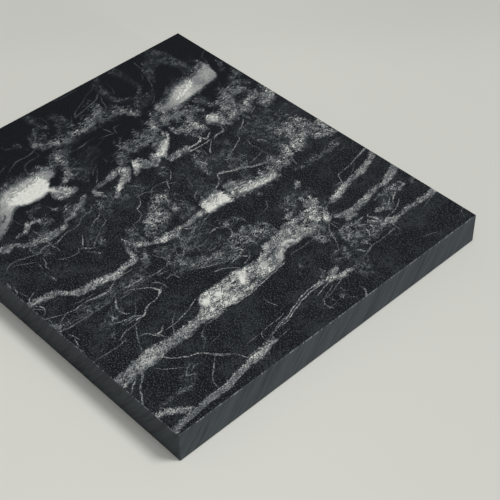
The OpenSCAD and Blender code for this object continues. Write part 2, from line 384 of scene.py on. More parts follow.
# The whitest stone
CORES = [
    [(-50.3, 51.5, 8, 82), (-49.3, 48.5, 17, 100), (-48.4, 46, 18, 100), (-46, 38.5, 11, 80)],
    [(-43.5, -27.5, 25, 90), (-42, -30, 45, 98), (-41, -34, 48, 100), (-41, -39, 45, 100),
     (-41.5, -43, 32, 95), (-42, -45.5, 15, 85)],
    [(-38.5, -31, 16, 95), (-37, -29.5, 13, 90), (-35.2, -28.5, 8, 78), (-33, -26.8, 5, 74),
     (-31.8, -24.8, 3, 66)],
    [(14.4, 35.5, 7, 70), (14.8, 33, 7, 90), (14.2, 31, 11, 100), (13.9, 28.5, 10, 100),
     (12.8, 23.5, 17, 74), (12.5, 21, 17, 66)],
    [(10.1, 13.6, 30, 95), (10.3, 12.4, 30, 100), (10.2, 10.5, 26, 84), (10, 8.5, 25, 80),
     (10.1, 6.5, 28, 97), (10.6, 4.8, 22, 98), (11.4, 3.4, 8, 70)],
    [(38, 17.3, 8, 75), (41, 16.5, 10, 72)],
    [(43.5, 15, 10, 75), (42.5, 12.5, 13, 85), (43, 10, 8, 60)],
    [(45, 8, 12, 65), (46, 6, 16, 70), (46, 4.5, 13, 60)],
    [(39.5, 6.5, 13, 70), (39, 4.5, 7, 60)],
    [(45, 0.5, 16, 66), (46, -2.5, 20, 74)],
    [(43.2, -7.5, 10, 70), (43.8, -10, 22, 90), (45.8, -11.6, 15, 100), (46.8, -12.8, 6, 80)],
    [(43, -15.5, 10, 70), (45.5, -17.5, 12, 66)],
    [(44.6, -20.3, 12, 90), (44.8, -21.8, 17, 100), (44.3, -23, 8, 80)],
    [(42.8, -24.8, 15, 85), (43.8, -26.6, 20, 95), (46, -27.2, 15, 80)],
    [(49.8, -32.5, 9, 75)],
    [(51.5, -42, 12, 68)],
    [(49.5, -45.3, 6, 75)],
    [(51, -54, 10, 70), (51.2, -57, 10, 74), (50.5, -60, 11, 70)],
    [(47.5, -54.5, 7, 60)],
    [(-31.5, -23.5, 5, 80), (-33.5, -27, 6, 85)],
    [(-28, 3, 5, 85), (-24, 0.5, 5, 85)],
    [(37.7, 45, 7, 76), (38.3, 41.5, 8, 76)],
    [(13.2, -38, 7, 72), (12.8, -43.5, 9, 70)],
]

# Single thin veins
VEINS = [
    # The two edges of the ribbon near the right side
    [(65, 7.5, 4, 60), (64.4, 4.5, 5, 60), (64.5, 1, 5, 55), (65.9, -5.5, 5, 55), (68.2, -12, 5, 50),
     (69.6, -18, 5, 40), (69.9, -21, 5, 35)],
    [(65.8, 6, 4, 50), (65.5, 3, 5, 50), (66.3, -3, 5, 55), (67.2, -6.5, 5, 50), (69.3, -13, 5, 50),
     (69.9, -16, 4, 40)],
    [(73.6, -35, 5, 60), (74.4, -41, 5, 55), (75.2, -47, 5, 50), (75.2, -53, 5, 50), (75.3, -56, 5, 45),
     (76, -62, 5, 50)],
    [(75, -36, 5, 50), (75.6, -39, 5, 55), (76, -42, 5, 50), (76.8, -45, 6, 60), (77.2, -48, 5, 55),
     (77, -52, 4, 45), (77.4, -60, 4, 45), (77.8, -64, 4, 45)],
    # Back left
    [(-76, 43, 4, 35), (-70, 42, 3, 20)],
    [(-72.3, 44.7, 10, 40)],
    [(-65, 40.2, 3, 25), (-59.5, 38, 5, 33), (-58.5, 37.3, 3, 20)],
    [(-68, 40, 4, 20), (-65, 38.2, 4, 20), (-64.7, 37, 3, 10)],
    [(-62, 35.6, 10, 22)],
    [(-53, 34, 3, 35), (-51, 32, 5, 35), (-50, 30, 3, 20)],
    [(-55, 41.5, 6, 20), (-53.5, 40.7, 12, 30), (-52.5, 40, 5, 20)],
    [(-62.5, 69.5, 5, 25), (-61, 67, 6, 25), (-60, 65.5, 9, 28), (-57.5, 65, 6, 25), (-55, 64, 5, 30)],
    [(-68, 27.3, 6, 25)],
    [(-73, 26, 3, 15), (-69, 25.3, 4, 20), (-66.5, 24.3, 6, 28)],
    # Back middle
    [(-20, 57, 4, 35), (-18.5, 54.5, 4, 30)],
    [(-18, 49.2, 6, 30), (-16, 47, 6, 38), (-12.5, 41, 6, 30), (-10.5, 40, 5, 35), (-7, 33.5, 5, 33),
     (-6, 30.5, 4, 20)],
    [(-8.5, 63.5, 5, 20), (-8, 58, 5, 22), (-8, 55.5, 6, 28), (-9, 52, 5, 22), (-12, 46, 4, 15),
     (-12, 42, 5, 25)],
    [(-7.5, 67, 5, 20), (-7.3, 64, 4, 20)],
    [(-5, 44, 8, 30), (-4, 45.3, 10, 42), (-1.5, 46, 5, 25)],
    [(-7, 41.2, 4, 20), (-4, 40.3, 4, 35), (-1, 41, 4, 25), (3, 41, 6, 25), (5, 40.8, 5, 20)],
    [(7.2, 37, 10, 35), (6, 34.5, 12, 40), (5, 31.5, 12, 38), (3.5, 29.5, 12, 42), (1.3, 24.5, 10, 45),
     (0.6, 22.5, 9, 50), (-0.5, 20.3, 10, 42)],
    [(1.7, 39.5, 4, 25), (3, 33.5, 5, 28), (3.5, 31.5, 3, 20)],
    [(-4.5, 27.8, 3, 20), (-2, 27, 4, 35), (0, 26.3, 4, 30)],
    [(-5, 27, 6, 25), (-4, 29, 6, 25), (-2, 31, 5, 25)],
    [(-17, 32, 5, 30), (-14.5, 29, 5, 35), (-12, 26.5, 7, 40)],
    [(-13.5, 25.3, 4, 25), (-11, 24, 4, 25)],
    [(-20.5, 40, 8, 30), (-18, 38.5, 10, 35), (-17.8, 35.5, 10, 40), (-17, 33.5, 10, 30)],
    [(-20.5, 34, 8, 35), (-19, 31, 10, 50), (-21, 29.5, 10, 50)],
    [(-21, 29.5, 10, 50), (-19.5, 28, 10, 60), (-19.4, 25, 9, 65), (-19.5, 22, 12, 60)],
    [(-17.5, 31, 8, 45), (-17.3, 28, 7, 40), (-17.5, 25, 7, 40), (-17.8, 22, 10, 50)],
    [(15.8, 67, 3, 25), (15.7, 62, 3, 25)],
    [(10.5, 46.8, 4, 30), (13, 45.5, 5, 38), (15.5, 44.8, 4, 25)],
    [(19, 61, 5, 20), (21, 61.5, 6, 20), (21.5, 63.5, 5, 25)],
    [(21.7, 33.6, 6, 35)],
    [(5, 26.3, 3, 30), (8, 25.7, 3, 30)],
    # Back right
    [(27.5, 69, 9, 40), (28.7, 62.5, 7, 35), (29.5, 60, 6, 30), (30.5, 53, 5, 30), (31, 51, 5, 35),
     (33, 50, 6, 38), (34.5, 48.5, 8, 30), (34, 46, 5, 20)],
    [(29.8, 60.5, 4, 28), (31.5, 58.5, 4, 28), (33, 56, 4, 22)],
    [(49, 64, 12, 35), (51, 64.5, 10, 40), (51, 62.5, 9, 50), (51.8, 60, 4, 30)],
    [(49, 61.3, 5, 50)],
    [(51.5, 58.7, 6, 40), (52.3, 57.5, 6, 50), (53.5, 55.5, 6, 35), (55, 54, 6, 30)],
    [(53, 54.3, 3.5, 50), (54, 52.5, 4.5, 60), (54.8, 50.8, 3.5, 30)],
    [(55.5, 56.5, 4, 30), (57, 54, 5, 35), (57.8, 52, 6, 40), (58.3, 49.5, 6, 30)],
    [(56.3, 52.3, 5, 40)],
    [(52.8, 44, 5, 45), (53.5, 42, 6, 40), (55, 43, 13, 50), (56.5, 43.5, 14, 60)],
    [(57, 42, 12, 50), (56, 40.8, 10, 40)],
    [(62, 68.5, 4, 30), (63, 64.5, 4, 35), (64.3, 60, 3.5, 25)],
    [(58.5, 47.5, 5, 40), (59, 46, 8, 50), (60, 44, 9, 60)],
    [(61.5, 45.3, 4, 40), (64, 45.2, 4, 40), (65.8, 45, 4, 30)],
    [(64.3, 43.5, 5, 35), (64.5, 41.5, 5, 45)],
    [(65.2, 44.6, 3, 30), (67, 44, 3, 30), (67.2, 42.6, 3, 30), (66, 41.5, 3, 30)],
    [(64.8, 40, 3.5, 35), (64.8, 32.5, 3.5, 35), (65.5, 30, 8, 30), (66, 27.5, 4, 25), (66.3, 24, 3, 20)],
    [(52.7, 40, 5, 35), (53, 37.5, 6, 40), (53, 35, 7, 35), (52.5, 33, 10, 40), (53.5, 31.5, 7, 35)],
    [(55.8, 38, 4, 45), (54.5, 36, 4, 35)],
    [(58.7, 36.5, 7, 60), (60.5, 35.5, 5, 40), (61.8, 34, 4, 38), (62, 31.5, 8, 40)],
    [(62, 31.5, 8, 40), (63.5, 32, 5, 40)],
    [(57, 34.2, 4, 40), (56.2, 32, 3, 30)],
    [(38, 36.5, 5, 35), (38, 33, 4, 30), (38.2, 31.5, 4, 40)],
    [(39, 37, 5, 30), (40, 35, 5, 25)],
    [(44, 37, 4, 25), (44, 34.5, 4, 30), (45, 32.5, 7, 50)],
    [(46, 29, 4, 40), (46.2, 26, 4, 35), (47.5, 23.5, 6, 40), (50, 21.5, 8, 40)],
    [(46.5, 29.7, 3, 40), (49, 27.7, 5, 50), (51.5, 26, 7, 45), (54, 25.2, 6, 35), (56.5, 23.7, 5, 35),
     (58.5, 22, 6, 30)],
    [(45.5, 31, 3, 40), (49, 31.8, 3, 30)],
    [(46, 30.3, 3, 40), (51, 30, 3, 30), (53.5, 29, 3, 20)],
    [(26, 30, 6, 30), (27.5, 28, 9, 35), (29.5, 26.5, 7, 25)],
    [(62, 26, 5, 25), (63, 27.5, 8, 40), (64.5, 28.3, 7, 45)],
    [(74, 70, 4, 30), (75, 67.5, 4, 30), (77, 66.5, 4, 30)],
    [(74.5, 49, 7, 20), (75.5, 52, 6, 22), (76.5, 53.5, 4, 20)],
    [(70.7, 33, 5, 30)],
    [(76.5, 41, 6, 20)],
    # Middle left
    [(-55, 8, 5, 25), (-54, 7, 5, 30), (-52, 6.7, 3, 15), (-51, 6.8, 5, 35), (-49, 7.2, 6, 40),
     (-48, 7.4, 5, 30)],
    [(-49, 11.5, 5, 25), (-48.8, 10, 6, 30), (-47, 9.2, 5, 35), (-46, 8.7, 5, 30)],
    [(-46.3, 8, 4, 25), (-46.8, 6, 6, 30), (-47.6, 2.5, 4, 20)],
    [(-46.5, 3, 3, 15), (-44, -3.5, 3.5, 22), (-42.8, -7, 4, 28), (-41.5, -10, 5, 20)],
    [(-49.6, 0, 4, 15), (-49.3, -3, 5, 25), (-48.7, -5.5, 7, 45), (-48.7, -8, 8, 20), (-49, -12, 10, 20)],
    [(-75, 20.5, 6, 20), (-72.5, 15, 6, 20), (-70.5, 12, 5, 25), (-67, 5.5, 6, 27), (-65, 3.8, 9, 33)],
    [(-69.5, 18.5, 10, 30), (-68, 16.5, 9, 35), (-66, 9.5, 8, 28), (-64.8, 4, 9, 30)],
    [(-67.5, 18.8, 5, 30), (-65.5, 17.5, 6, 30)],
    [(-64, 17, 8, 30), (-62, 16.5, 6, 30), (-60, 15.5, 5, 30)],
    [(-76, 8, 10, 15)],
    [(-78.5, 14, 8, 20), (-78.5, 5, 8, 20)],
    [(-59, 0.8, 4, 30), (-57, 1.2, 4, 30)],
    [(-62, 8.2, 6, 28), (-63.3, 6.5, 6, 28), (-62.5, 5, 4, 20)],
    [(-65, 2, 7, 25), (-63, 0, 7, 33), (-63, -3, 7, 33), (-65, -4.5, 7, 33), (-67, -4.3, 5, 25)],
    [(-61, -9, 5, 20), (-60.5, -12, 4, 20)],
    [(-76, -9, 6, 20), (-74.5, -7.2, 5, 20), (-72, -6.2, 5, 20), (-70, -6.3, 5, 18)],
    [(-59.5, -19.5, 5, 25), (-58.8, -21.5, 7, 30), (-58.5, -24, 7, 30), (-58.7, -27.5, 8, 28),
     (-58.3, -30, 7, 30), (-57, -32.5, 5, 25), (-56, -34, 6, 20)],
    [(-59, -20.5, 4, 20), (-57, -20.3, 4, 25), (-55.5, -21, 5, 30), (-54.8, -23, 4, 20)],
    [(-55, -12, 5, 25), (-54, -15, 7, 27), (-52.5, -17.5, 7, 27), (-53, -19, 5, 20)],
    [(-40, -5, 3, 20), (-39, -8.5, 4, 30), (-38.5, -9.5, 4, 25)],
    [(-36, -9, 4, 28), (-34.5, -11.5, 6, 30), (-33.5, -12.5, 9, 30)],
    [(-34, -10, 4, 20), (-31, -12.5, 5, 25), (-29, -14, 6, 45)],
    [(-36.3, 1.3, 7, 45), (-35.5, 2, 6, 35)],
    [(-34.5, -0.5, 4, 30), (-34, -3, 4, 25)],
    [(-31.5, 12.2, 6, 35)],
    # Middle
    [(-19.5, -8, 3, 25), (-17.5, -6.5, 5, 33), (-15, -4.5, 4, 33), (-13, -3, 3, 25)],
    [(-18, -12, 3, 30), (-15.5, -13.5, 3, 30)],
    [(-19.5, -15.5, 3, 30), (-17, -16.5, 3, 30)],
    [(-20, -17, 3, 25), (-15, -19, 5, 25)],
    [(-19.5, -21.3, 4, 35), (-17, -21.2, 5, 40), (-15.5, -22, 4, 30)],
    [(-0.5, 22, 10, 40), (-0.5, 20.3, 10, 42), (0.5, 19, 8, 50), (2, 18.3, 5, 68), (3, 18, 3, 50)],
    [(2.5, 17.5, 5, 35), (4, 15.5, 7, 45), (4.5, 13, 5, 25), (4.5, 9, 8, 20)],
    [(3, 15, 3, 30), (1.5, 14, 4, 25), (0.5, 11.5, 4, 22)],
    [(1, 9, 3.5, 30), (2, 6.3, 5, 40), (3.3, 5, 4, 30)],
    [(-5.5, 10, 5, 20), (-4, 9.5, 6, 25), (-1.5, 9, 4, 20)],
    [(-3.6, 1.2, 3, 35), (-2.5, 2.3, 3, 35), (-0.5, 2.5, 3, 35), (1.2, 1.8, 3, 35)],
    [(-3.6, 1.2, 3, 35), (-2.5, 0.1, 3, 35), (-0.5, -0.1, 3, 35), (1, 0.8, 4, 40), (3, 0.7, 3, 50)],
    [(13.2, 3.5, 5, 35), (15.5, -2.5, 3.5, 33), (16.7, -4.8, 3, 28)],
    [(13, -12.5, 6, 50), (15.3, -12.8, 6, 50)],
    [(13.3, -8, 5, 45), (14.3, -7, 5, 40)],
    [(12, -5.5, 5, 50)],
    [(15, -5.5, 3, 30), (17, -7.5, 4, 35), (19, -12, 6, 30), (20.5, -15, 4, 33), (22.5, -17.5, 6, 33),
     (24, -19.5, 5, 30)],
    [(19, -6, 4, 35), (18.6, -9, 5, 35), (17, -11.5, 8, 30), (14.5, -11.5, 6, 30)],
    [(-10, -3.5, 4, 30), (-11.5, -6, 5, 30), (-12, -8.5, 5, 35)],
    [(-12, -8.5, 5, 35), (-8, -11, 5, 38), (-6.5, -13.5, 6, 45), (-4, -14, 5, 40), (-2.5, -15.5, 5, 35),
     (-1.5, -17.5, 4, 33), (-1.5, -19.3, 4, 30), (1, -20.3, 4, 38)],
    [(-10.5, 4, 5, 30), (-11.5, 1.5, 5, 30), (-11.5, -1, 4, 28), (-11, -3, 4, 28), (-9.5, -4.3, 4, 30)],
    [(-14, 8.5, 4, 30), (-12.3, 7.5, 5, 40), (-11, 6, 5, 42)],
    [(-11.5, 4.2, 5, 30), (-8, 2.6, 4, 42), (-7, 2, 4, 30)],
    [(-9.3, 3.8, 4, 30), (-8, 5.5, 5, 33)],
    [(-13, -9, 4, 20), (-13.7, -12, 4, 22), (-14, -16, 5, 22)],
    [(-10, -13, 3, 18), (-10, -18, 3, 20)],
    [(1, -20.5, 4, 30), (0, -21.5, 3, 30)],
    [(0, -21.5, 3, 30), (2, -22.5, 4, 35), (2.3, -24, 4, 30)],
    [(22.3, 5, 4, 45), (22, 2, 5, 40), (20.5, -0.5, 10, 35), (20.7, -3, 6, 30)],
    [(18.3, 3, 5, 25), (19.5, 3.5, 4, 28)],
    [(23, 3, 4, 40), (25, 2.7, 4, 45), (27, 1.3, 4, 40), (27.8, 0, 4, 30)],
    [(27.8, 0, 4, 30), (27.7, -3, 3, 20), (27.5, -8, 6, 30)],
    [(15, -24.8, 3, 25), (20, -23.5, 4, 30), (23, -25, 4, 35)],
    [(22, -20.5, 3, 30), (24.5, -23, 4, 38)],
    [(23, 22, 5, 30), (25, 20, 4, 30), (26, 17.5, 3, 20)],
    # Middle right
    [(49.5, 4, 6, 50), (50.3, 0, 6, 50), (51, -6, 6, 50), (51.8, -12, 6, 50), (52, -20, 6, 50)],
    [(33.5, 20, 8, 35), (34, 22, 8, 40)],
    [(33, 10.5, 4, 35), (35, 11.3, 5, 40)],
    [(37, 0, 5, 35), (39, -1.5, 5, 40), (40, -4.5, 5, 50)],
    [(37.8, -2.5, 7, 50), (36.5, -4.5, 6, 40), (36.7, -7.5, 4, 50)],
    [(40, -8.5, 4, 40), (37.5, -11.5, 5, 42), (36, -15, 5, 40)],
    [(35, -9, 5, 30), (33, -14, 7, 35), (30, -20, 4, 38)],
    [(31, -11, 3, 30), (31.5, -12.5, 3, 35)],
    [(37.7, -15.6, 5, 30)],
    [(48.3, 22, 4, 30), (48.3, 10, 4, 25)],
    [(66.7, 8, 4, 50), (67.7, 4.5, 4, 50), (68.3, 2, 4, 40)],
    [(68.5, 13, 6, 45), (69.5, 10, 4, 35), (71, 4, 3, 40), (71.2, 1.5, 4, 20)],
    [(68, 9, 4, 25), (69.5, 5.5, 4, 33), (70.7, 2.5, 3, 25)],
    [(62, 16, 5, 45)],
    [(62.5, 22, 5, 30), (61, 19, 6, 30)],
    [(68, 19.5, 4, 30), (70, 18.8, 4, 30), (72, 19, 4, 30)],
    [(75.5, 8, 4, 25), (77.5, 10, 4, 30)],
    [(72, 1.2, 4, 50), (73.5, 0.3, 3.5, 40), (75, 0.9, 3.5, 40)],
    [(75, 0.9, 3.5, 40), (75, 2.7, 3, 45)],
    [(71.5, 3.5, 4, 30), (74, 3.8, 4, 30)],
    [(77, 4, 4, 40)],
    [(78.3, 3.5, 4, 40)],
    [(78.3, 19.3, 6, 50)],
    [(76.5, 22, 4, 30)],
    [(76, 15, 4, 30), (78, 14.5, 10, 38), (79.7, 13, 9, 35)],
    [(53.5, -11.8, 7, 35)],
    [(56, -11.3, 2, 20), (58.7, -12.2, 3, 40), (61.5, -11.7, 5, 40)],
    [(59, -16.3, 5, 30)],
    [(64, -6.5, 6, 25)],
    [(66.5, -13, 4, 35), (67, -17, 4, 45), (67, -20.5, 3.5, 45), (67.6, -23.5, 4, 45),
     (68.3, -24, 3, 40)],
    [(68, -13.5, 3.5, 40), (69, -18, 3.5, 40)],
    [(70.3, -21, 6, 30), (71, -24, 8, 30)],
    [(73.3, -8, 3, 20), (73.3, -12, 3.5, 20), (72, -14, 3, 15)],
    [(72.5, -16, 3, 25), (72.7, -20, 4, 25)],
    # Front left
    [(-55.5, -23, 6, 20), (-55, -27, 8, 28), (-53, -29, 10, 28), (-51, -29.5, 8, 20)],
    [(-59, -34, 5, 25), (-58, -36, 6, 28)],
    [(-66.5, -25.5, 7, 25), (-68, -27.5, 4, 25), (-69.5, -28, 3, 20)],
    [(-30, -35.7, 4, 35), (-28, -35, 6, 50), (-26.5, -34.7, 5, 50)],
    [(-33.5, -48.7, 3, 25), (-31, -48.5, 4, 28), (-29.5, -48, 3, 20)],
    # Front middle
    [(-22.8, -24, 5, 25), (-22, -26, 5, 28)],
    [(-27, -33.5, 10, 40), (-27.5, -35, 7, 50)],
    [(-19, -24.3, 5, 25), (-17.5, -26, 5, 30), (-17.3, -29, 5, 30), (-16.5, -31.5, 5, 35),
     (-15, -33.5, 5, 35), (-14.5, -36, 5, 28), (-14.5, -39, 5, 30), (-13, -44.5, 6, 33),
     (-13, -46, 5, 30)],
    [(-14.5, -24.5, 4, 25), (-13.3, -25.5, 5, 33), (-12.5, -28, 5, 38), (-11, -31, 4, 30)],
    [(-13, -24.5, 4, 33), (-10.5, -25, 5, 35), (-9, -27, 6, 33), (-8, -29.5, 5, 28), (-6.5, -31, 5, 25),
     (-4, -34.7, 4, 25), (-3, -36, 5, 42)],
    [(-9.5, -36.3, 3, 25), (-8, -37.3, 5, 40), (-6, -38.7, 5, 42), (-4.7, -40, 4, 30)],
    [(-4.5, -39.5, 6, 35), (-2.7, -38.5, 8, 38), (-1.5, -37, 5, 30)],
    [(-1.5, -39.5, 4, 30), (1.5, -37.3, 6, 35)],
    [(-5, -41, 4, 30), (-3.5, -42.5, 6, 28), (-3.8, -45, 5, 25), (-5, -48, 7, 28), (-6, -49.5, 4, 20)],
    [(-23.5, -47, 5, 20), (-20, -46.7, 6, 30), (-16, -46.7, 7, 38), (-13, -47, 6, 35),
     (-11, -46.3, 6, 40), (-9.3, -46.3, 3, 30)],
    [(-8.5, -45, 4, 25)],
    [(-14, -47.5, 5, 30), (-14, -50, 7, 35), (-13, -52, 7, 38), (-13.5, -54.5, 6, 33),
     (-14.5, -57, 5, 28), (-15.3, -60, 5, 30), (-15.2, -62.5, 5, 33), (-14.2, -65, 4, 33),
     (-13.3, -66.5, 3, 20)],
    [(-17.5, -53, 5, 25), (-16, -53.5, 7, 35), (-14.5, -53.5, 4, 30)],
    [(-9.5, -53, 5, 38), (-8, -53.2, 5, 42), (-6.5, -54, 5, 42), (-5.7, -54.7, 4, 50),
     (-4.8, -54.7, 3, 30)],
    [(-9, -55.5, 4, 20), (-6.5, -56, 6, 28)],
    [(-5, -57, 3, 20), (-2.5, -57, 3, 25), (-0.5, -56, 5, 35), (1, -56, 6, 35)],
    [(-10, -55.5, 3, 20), (-13, -60.5, 5, 25), (-14, -62.5, 4, 20)],
    [(-17.3, -60, 6, 35)],
    [(-19, -58.3, 4, 25)],
    [(6, -48.5, 5, 25)],
    [(3.8, -53.5, 4, 20)],
    [(-8, -69, 10, 30), (-6.5, -69, 6, 35)],
    [(-4.5, -68.5, 6, 30), (-3, -69, 8, 35)],
    [(-2, -68.3, 4, 25), (0.5, -68, 5, 30)],
    [(1.3, -65.5, 4, 40), (2.3, -67.5, 5, 42), (4, -69, 8, 40)],
    [(17.5, -33.3, 6, 55)],
    [(15.5, -35, 4, 30), (15.5, -39, 4, 25)],
    [(16, -42.5, 5, 30), (17, -44.5, 7, 38), (18.2, -46.5, 7, 42), (17.9, -49, 10, 48),
     (17.5, -52, 10, 42), (16.7, -55, 8, 38), (17, -60.5, 5, 38), (16.3, -63, 4, 42), (17.3, -65, 4, 45),
     (18.3, -66.8, 3, 35)],
    [(16.3, -63.3, 4, 30), (14, -68.5, 6, 33), (13.5, -70, 5, 30)],
    [(15.7, -52, 3, 30), (15, -58, 3, 20)],
    [(7, -68, 6, 40), (8.5, -67, 5, 45), (10.5, -67.3, 5, 42), (11.3, -68.3, 4, 30)],
    [(7.5, -69.3, 4, 30), (9, -68, 4, 30)],
    [(22.5, -50, 4, 35), (22.2, -54, 4, 33), (22.2, -62, 5, 35), (22, -66, 6, 38), (21.5, -69, 8, 40)],
    [(18.3, -58, 4, 28), (19, -55, 4, 25), (20, -53, 3, 20)],
    [(21.3, -35, 8, 40), (21.2, -37, 8, 50), (21.3, -39, 7, 50), (20.7, -41.5, 10, 33)],
    [(22.7, -26, 5, 28), (22.8, -29, 7, 38), (22.3, -32, 4, 28), (22.5, -38, 4, 30)],
    [(24.5, -26, 4, 25), (24, -29, 6, 35)],
    [(23.5, -42, 4, 30), (23.5, -46, 5, 30)],
    [(21.3, -47.5, 3, 40), (21.8, -49.3, 3.5, 45)],
    [(22.8, -47.5, 4, 40), (24.5, -48.7, 5, 50), (26, -50, 5, 50)],
    # Front right
    [(52.3, -25, 5, 30), (52.3, -33, 5, 30)],
    [(53, -59, 5, 40), (53.5, -62, 6, 40)],
    [(41.3, -28.5, 5, 30), (43.3, -34, 5, 42), (43.7, -35.5, 6, 50), (44.2, -38, 3.5, 55),
     (44.7, -40.5, 3.5, 45), (44.7, -43.5, 3.5, 35)],
    [(43.7, -45, 8, 40), (44.2, -46, 8, 45), (44, -47.2, 5, 55)],
    [(44, -47.5, 5, 42), (47.5, -46, 5, 40)],
    [(44.5, -48, 5, 40), (41.5, -50.5, 6, 38), (41, -52.5, 6, 35)],
    [(41.2, -37.7, 3, 25), (43, -40, 3.5, 30), (47.5, -43.5, 4, 33)],
    [(37, -50.7, 3, 33), (39, -51.8, 3.5, 35), (41, -53.3, 6, 38), (43.5, -54.5, 5, 28),
     (46, -55.8, 5, 30)],
    [(38.8, -56.8, 5, 35), (39.5, -60, 4, 38), (39.4, -64, 4, 38), (39.3, -70, 4, 35)],
    [(38.7, -57, 3, 30), (40.5, -56.3, 3, 30)],
    [(35.5, -48, 3, 38), (36, -51, 3.5, 40), (36.3, -53, 3, 30)],
    [(35.9, -53.8, 3, 50), (36.5, -55.5, 4, 50), (37.2, -57, 3, 35)],
    [(29.5, -33.5, 6, 60), (30, -34.3, 10, 62), (31, -35.5, 7, 50), (32, -37.5, 6, 42),
     (32.3, -40, 5, 42), (32.8, -42.5, 7, 42), (34.8, -46, 6, 55), (34.7, -48, 5, 50)],
    [(29.5, -34.3, 7, 50), (27, -35.3, 5, 45), (25.5, -37, 5, 42), (22.5, -41.5, 6, 38)],
    [(34, -46.5, 4, 45), (32.7, -48, 6, 48), (32.3, -50.5, 5, 42), (31.5, -53, 4.5, 50),
     (30.8, -55, 4, 45)],
    [(33, -48, 4, 38), (33, -52.5, 4, 38)],
    [(34, -48, 3.5, 38), (34, -51.5, 3.5, 38)],
    [(28.5, -43.7, 3, 28), (32, -46.5, 3, 28)],
    [(24.5, -48.5, 6, 42), (26, -49.5, 6, 42), (28, -49.8, 5, 50), (30, -49.3, 5, 55),
     (30.8, -48.3, 3, 40)],
    [(28, -53, 11, 40), (29, -54, 6, 50)],
    [(27.3, -54.7, 4, 45)],
    [(28, -59, 5, 35)],
    [(27.5, -60.3, 4, 25)],
    [(37.3, -65.3, 6, 35)],
    [(25, -68, 5, 38), (27.5, -67.3, 4, 42)],
    [(28, -68.3, 4, 40), (30, -68.8, 4, 40)],
    [(27, -70, 5, 35), (33, -69.5, 5, 35)],
    [(27.2, -28.5, 4, 35), (26.8, -26.5, 4, 30), (28.5, -25.8, 4, 38), (30, -25.5, 3, 40)],
    [(26, -33, 10, 35), (27.5, -32, 6, 35), (29.5, -31.7, 4, 40)],
    [(77.3, -45.3, 3.5, 45), (76.8, -47.5, 4, 50)],
    [(67.2, -25, 4, 25), (67.5, -28.5, 5, 28)],
    [(72, -33.7, 4, 42), (69.5, -34.8, 4, 42), (67.5, -36.3, 4, 42), (63.5, -40.3, 5, 45),
     (60, -43, 6, 45), (58.9, -45, 6, 45), (58.5, -46.8, 5, 45), (57.3, -48, 5, 45), (56.3, -50.2, 4, 42),
     (52.5, -53.2, 5, 50)],
    [(66.5, -38, 3, 35), (64, -40.5, 4, 40)],
    [(66.2, -35.6, 5, 42)],
    [(61.3, -50.5, 3, 35), (56.8, -56, 4, 38), (55, -57.3, 3, 28)],
    [(65, -41.5, 4, 30), (68.5, -45, 5, 38), (70, -46.8, 5, 35), (72, -48.3, 7, 33),
     (74.5, -48.5, 6, 30)],
    [(61, -45.5, 6, 28), (61.5, -49, 6, 30), (62.5, -51, 5, 35), (64, -52.3, 8, 42), (65, -50.5, 6, 33)],
    [(62.7, -47.5, 4, 30), (63.5, -50.5, 4, 30)],
    [(55.5, -49, 8, 25)],
    [(53.7, -33.2, 6, 40)],
    [(55.3, -40.7, 4, 35)],
    [(53.7, -25.5, 4, 30)],
    [(57.3, -25.3, 5, 30)],
    [(53, -35.5, 4, 38), (54.5, -37.8, 6, 38), (55.5, -38.2, 4, 30)],
    [(57, -38, 4, 25), (58.8, -40.5, 4, 25)],
    [(58.7, -34, 3, 25), (59.3, -37, 3, 28)],
    [(54, -62, 12, 33), (55.5, -63.5, 10, 35), (57, -65.5, 8, 35), (63.5, -70, 6, 35)],
    [(54, -65, 5, 45), (55.5, -67.5, 6, 45), (57, -69, 4, 35)],
]

# Dark cracks and pockets in the bands
SHADES = [
    [(42.3, 8, 4, 50), (43, 5, 4, 50), (43.5, 2, 3, 40)],
    [(49, -5, 4, 50), (48.5, -9, 5, 50), (49.5, -12, 3, 40)],
    [(34.5, 7.5, 12, 40)],
    [(34.5, 1.5, 12, 40)],
    [(26, -4, 12, 30)],
    [(4, 24, 12, 40)],
    [(-39.3, -23, 12, 90), (-39.5, -25, 24, 100), (-39, -27.3, 10, 80)],
    [(-37, -49, 5, 40), (-35, -52, 6, 50)],
    [(5, 7.8, 2, 50), (7, 6.8, 2, 50)],
]


def linear(byte):
    """A screen value of 0 to 255 as the light it stands for."""
    value = byte / 255
    if value <= 0.04045:
        return value / 12.92
    return ((value + 0.055) / 1.055) ** 2.4


def colour(bytes3):
    return tuple(linear(byte) for byte in bytes3) + (1.0,)


def add_camera():
    azimuth = math.radians(CAMERA_AZIMUTH)
    elevation = math.radians(CAMERA_ELEVATION)
    roll = math.radians(CAMERA_ROLL)
    back = Vector((
        math.sin(azimuth) * math.cos(elevation),
        -math.cos(azimuth) * math.cos(elevation),
        math.sin(elevation),
    ))
    level = Vector((math.cos(azimuth), math.sin(azimuth), 0))
    rise = back.cross(level)
    right = level * math.cos(roll) + rise * math.sin(roll)
    up = rise * math.cos(roll) - level * math.sin(roll)
    data = bpy.data.cameras.new("camera")
    data.lens = CAMERA_LENS
    data.sensor_width = CAMERA_SENSOR
    data.clip_start = 0.01
    camera = bpy.data.objects.new("camera", data)
    turn = Matrix((right, up, back)).transposed().to_4x4()
    camera.matrix_world = Matrix.Translation(Vector(CAMERA_TARGET) + back * CAMERA_DISTANCE) @ turn
    bpy.context.collection.objects.link(camera)
    bpy.context.scene.camera = camera


def add_lamp(name, place, size, power):
    data = bpy.data.lights.new(name, "AREA")
    data.shape = "DISK"
    data.size = size
    data.energy = power
    lamp = bpy.data.objects.new(name, data)
    lamp.location = place
    lamp.rotation_euler = (-Vector(place)).to_track_quat("-Z", "Y").to_euler()
    bpy.context.collection.objects.link(lamp)


